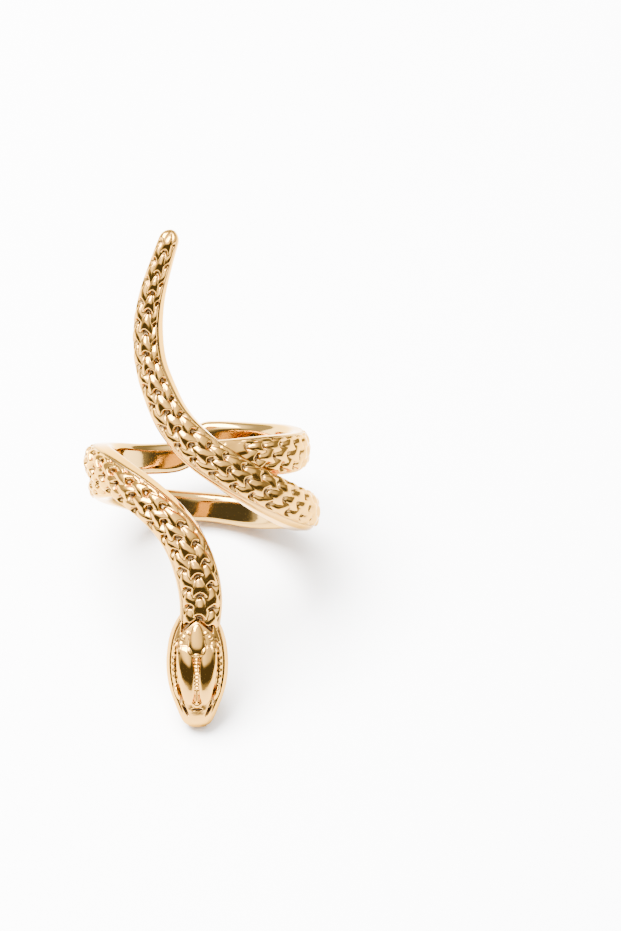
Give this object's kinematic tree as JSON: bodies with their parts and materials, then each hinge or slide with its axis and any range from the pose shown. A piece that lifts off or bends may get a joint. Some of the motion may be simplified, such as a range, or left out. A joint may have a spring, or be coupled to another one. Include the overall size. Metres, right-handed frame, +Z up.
{
  "type": "snake wrap ring",
  "caption": "Cast metal finger ring in the shape of a scaled snake that wraps the finger in open turns, with the head pointing down and the tail curling up.",
  "frame": {"origin": "on the floor under the middle of the ring's box as it stands, leaned back onto its snout and its lower turn", "axes": "+Z up, -Y towards the viewer's side where the head and the front of the ring are, +X to the right; the finger hole runs along (0, 0.681, 0.733)"},
  "size_m": [0.0236, 0.035, 0.0366],
  "materials": {
    "gold": "polished yellow to rose gold"
  },
  "bodies": {
    "root": {"snake_ring": "gold"}
  },
  "joints": []
}
